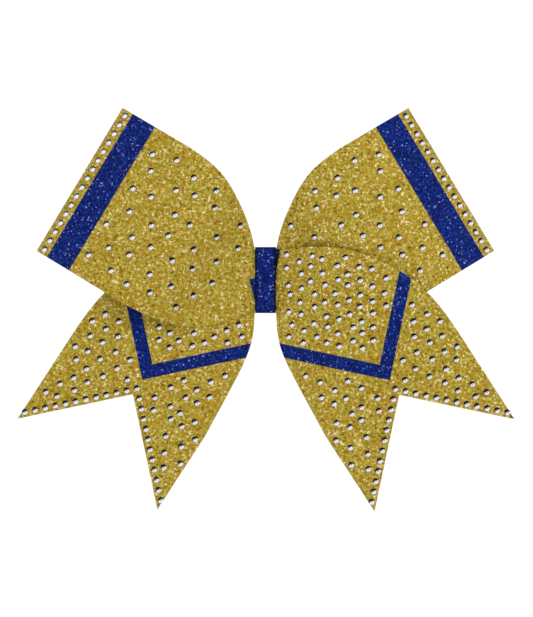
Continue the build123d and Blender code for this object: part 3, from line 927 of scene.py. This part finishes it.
def wound_band(name, clearance, left_edge, right_edge):
    """One turn of ribbon between two edges that may change with height on the front."""
    even, places = along_closed(wound_path(clearance), band_step)
    share = np.linspace(0, 1, band_columns)[None, :]
    low = np.array([left_edge(y, z) for y, z in even])[:, None]
    high = np.array([right_edge(y, z) for y, z in even])[:, None]
    across = low + (high - low) * share
    sag = band_sag * (1 - (2 * share - 1) ** 2)
    points = np.stack(
        [across, even[:, :1] - sag * (even[:, :1] < tie_low[1]), even[:, 1:] + 0 * share], axis=-1
    )
    surface = grid_surface(points, places[:, None] + 0 * share, across)
    bmesh.ops.remove_doubles(surface, verts=surface.verts[:], dist=band_weld)
    face_forward(surface, band_facing_rows * (band_columns - 1))
    band = layer_object(name, surface, wrap_thickness, 0, blue_glitter)
    surface.free()
    mesh = band.data
    # Painted shade: the colour goes nearly black towards each edge and towards the folds at the top and
    # bottom.
    painted_edge_shade = mesh.attributes.new("painted_edge_shade", "FLOAT", "POINT")
    values = []
    for vert in mesh.vertices:
        x, y, z = vert.co
        edge_room = min(x - left_edge(y, z), right_edge(y, z) - x)
        fold_room = knot_high[2] - abs(z) + max(y - tie_low[1], 0)
        nearest = min(edge_room / painted_shade_edge_width, fold_room / painted_shade_fold_width)
        values.append(min(max(painted_shade_fade - nearest, 0), 1))
    painted_edge_shade.data.foreach_set("value", values)
    return band


outer_band = wound_band(
    "knot_outer_turn",
    2 * wrap_gap + wrap_thickness,
    lambda y, z: -knot_half,
    lambda y, z: knot_half,
)
skew = 0.00185
skew_from = 0.002
tuck = 0.0002


def skewed_right(y, z):
    """The right edge of the inner turn, which leans out at the top of the front."""
    return knot_half + skew * float(ramp(z, skew_from, knot_high[2])) * (y < tie_low[1])


inner_band = wound_band("knot_inner_turn", wrap_gap, lambda y, z: -knot_half + tuck, skewed_right)

# The cut end of the inner turn, a sliver that widens upwards beside the left edge of the outer one.
flap_top, flap_bottom, flap_out = 0.0007, -0.0098, 0.0026
flap_under, flap_slant = 0.0012, 0.0002
flap_columns = 6
flap_rows = np.linspace(flap_bottom, flap_top, 12)
flap_share = np.linspace(0, 1, flap_columns)[None, :]
flap_left = (-knot_half - flap_out * (flap_rows - flap_bottom) / (flap_top - flap_bottom))[:, None]
flap_across = flap_left + (-knot_half + flap_under - flap_left) * flap_share
flap_points = np.stack(
    [
        flap_across,
        tie_low[1] - wrap_gap + 0 * flap_across,
        flap_rows[:, None] + flap_slant * (flap_across + knot_half) / flap_out,
    ],
    axis=-1,
)
flap_surface = grid_surface(flap_points, flap_rows[:, None] + 0 * flap_across, flap_across)
face_forward(flap_surface, flap_columns - 1)
flap = layer_object("knot_inner_end", flap_surface, wrap_thickness, 0, blue_glitter)
flap_surface.free()
for piece, cad in (
    (outer_band, "knot_outer_wrap"),
    (inner_band, "knot_inner_wrap"),
    (flap, "knot_inner_wrap"),
):
    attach(piece, "bow")
    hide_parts(cad)

# ---- The tie and the glue ---------------------------------------------------------------------------
# A black nylon tie draws the strands together inside the knot, and two blobs of hot-melt glue hold the
# back of the bow to the barrette.
nylon, _, nylon_shader = new_material("black_nylon")
nylon_shader.inputs["Base Color"].default_value = (0.012, 0.012, 0.013, 1)
nylon_shader.inputs["Roughness"].default_value = 0.45
nodes["centre_tie"].data.materials.clear()
nodes["centre_tie"].data.materials.append(nylon)

glue, glue_tree, glue_shader = new_material("hot_melt_glue")
glue_place = node(glue_tree, "ShaderNodeTexCoord").outputs["Object"]
glue_cloud = node(glue_tree, "ShaderNodeTexNoise", {"Vector": glue_place, "Scale": 420.0, "Detail": 3.0})
glue_tree.links.new(
    colour_steps(
        glue_tree, glue_cloud.outputs["Fac"], ((0.3, (0.62, 0.58, 0.46)), (0.7, (0.80, 0.77, 0.68)))
    ),
    glue_shader.inputs["Base Color"],
)
glue_shader.inputs["Roughness"].default_value = 0.28
glue_shader.inputs["Transmission Weight"].default_value = 0.25
glue_shader.inputs["Subsurface Weight"].default_value = 0.3
glue_shader.inputs["Subsurface Scale"].default_value = 0.002
wide_swell, fine_swell = 0.07, 0.05
least_round = 0.6
blob_width, blob_height = 0.94, 0.98
for name, side in sides:
    low, high = (Vector(corner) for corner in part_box(f"{name}_glue_pad"))
    middle, half = (low + high) / 2, (high - low) / 2
    blob = bmesh.new()
    bmesh.ops.create_icosphere(blob, subdivisions=5, radius=1)
    for vert in blob.verts:
        x, y, z = vert.co
        round_out = max((abs(x) ** 3 + abs(z) ** 3) ** (1 / 3) / max(math.hypot(x, z), 1e-6), least_round)
        turn_round = math.atan2(z, x)
        swell = 1 + wide_swell * math.sin(5 * turn_round + side) + fine_swell * math.sin(9 * turn_round)
        flat_y = math.copysign(min(abs(y) * 1.5, 0.9 + 0.1 * abs(y)), y)
        vert.co = (
            middle.x + half.x * x / round_out * swell * blob_width,
            middle.y + half.y * flat_y,
            middle.z + half.z * z / round_out * swell * blob_height,
        )
    blob_mesh = bpy.data.meshes.new(f"{name}_glue_blob")
    blob.to_mesh(blob_mesh)
    blob.free()
    blob_mesh.polygons.foreach_set("use_smooth", [True] * len(blob_mesh.polygons))
    blob_mesh.materials.append(glue)
    glue_blob = new_object(f"{name}_glue_blob", blob_mesh)
    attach(glue_blob, "bow")
    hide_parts(f"{name}_glue_pad")

# ---- The barrette -----------------------------------------------------------------------------------
# Stamped nickel-plated steel: an arched plate, an arm that swings on a pin, a thin spring-steel tension
# bar and a latch with two wings. The CAD pieces show as they are, in metal with fine wear.
scratch_stretch = (120.0, 2600.0, 2600.0)
scratch_relief = 0.00002


def metal_material(name, bright, dull, roughness, grain):
    """Plated or bare steel with faint scratches along its length and soft cloudy wear."""
    material, tree, shader = new_material(name)
    place = node(tree, "ShaderNodeTexCoord").outputs["Object"]
    stretched = node(tree, "ShaderNodeMapping", {"Vector": place, "Scale": scratch_stretch})
    scratches = {"Vector": stretched.outputs["Vector"], "Scale": 1.0, "Detail": 3.0}
    scratch = node(tree, "ShaderNodeTexNoise", scratches).outputs["Fac"]
    cloud = node(tree, "ShaderNodeTexNoise", {"Vector": place, "Scale": 260.0, "Detail": 4.0})
    tree.links.new(
        colour_steps(tree, cloud.outputs["Fac"], ((0.35, dull), (0.65, bright))), shader.inputs["Base Color"]
    )
    rough = spread(tree, scratch, roughness * 0.7, roughness * 1.5)
    tree.links.new(rough, shader.inputs["Roughness"])
    bump = node(tree, "ShaderNodeBump", {"Strength": grain, "Distance": scratch_relief, "Height": scratch})
    tree.links.new(bump.outputs["Normal"], shader.inputs["Normal"])
    shader.inputs["Metallic"].default_value = 1.0
    return material


nickel = metal_material("nickel_plate", (0.60, 0.57, 0.52), (0.50, 0.47, 0.42), 0.2, 0.15)
spring = metal_material("spring_steel", (0.42, 0.42, 0.42), (0.30, 0.30, 0.31), 0.32, 0.35)
for name in (
    "barrette_plate",
    "hinge_pin",
    "clasp_arm",
    "tension_bar",
    "latch_clip",
    "latch_rivet",
    "latch_wing_upper",
    "latch_wing_lower",
):
    metal_piece = nodes[name].data
    metal_piece.materials.clear()
    metal_piece.materials.append(spring if name == "tension_bar" else nickel)

# ---- The studio -------------------------------------------------------------------------------------
# A pale floor under an even white sky, a large soft light from the upper right and a weaker one from the
# left. The camera looks level at the front of the bow through a long lens.
lens = 200.0
sensor = 36.0
view_height = 0.2815371
view_distance = lens * view_height / sensor
bow_depth = -0.015
view_across, view_up = 0.00046, -0.0130
camera_data = bpy.data.cameras.new("camera")
camera_data.lens = lens
camera_data.sensor_width = sensor
camera_data.clip_end = 20
camera = new_object("camera", camera_data)
camera.location = (view_across, bow_depth - view_distance, view_up)
camera.rotation_euler = (math.pi / 2, 0, 0)
bpy.context.scene.camera = camera
bpy.context.scene.view_settings.view_transform = "Standard"

paper, _, paper_shader = new_material("pale_paper")
paper_shader.inputs["Base Color"].default_value = (0.97, 0.97, 0.97, 1)
paper_shader.inputs["Roughness"].default_value = 0.9
floor_level = -0.17
floor_reach = 8.0
floor_mesh = bpy.data.meshes.new("floor")
floor_mesh.from_pydata(
    [(x * floor_reach, y * floor_reach, floor_level) for x, y in ((-1, -1), (1, -1), (1, 1), (-1, 1))],
    [],
    [(0, 1, 2, 3)],
)
floor_mesh.materials.append(paper)
floor = new_object("floor", floor_mesh)

world = bpy.data.worlds.new("studio")
world.use_nodes = True
sky = world.node_tree.nodes["Background"].inputs
sky["Color"].default_value = (1, 1, 1, 1)
sky["Strength"].default_value = 1.05
bpy.context.scene.world = world
for label, place, size, power in (
    ("key_light", (1.0, -1.3, 1.0), 0.7, 6),
    ("fill_light", (-1.2, -1.0, -0.1), 0.9, 2),
):
    light_data = bpy.data.lights.new(label, "AREA")
    light_data.shape = "DISK"
    light_data.size = size
    light_data.energy = power
    light = new_object(label, light_data)
    light.location = place
    light.rotation_euler = (-Vector(place)).to_track_quat("-Z", "Y").to_euler()
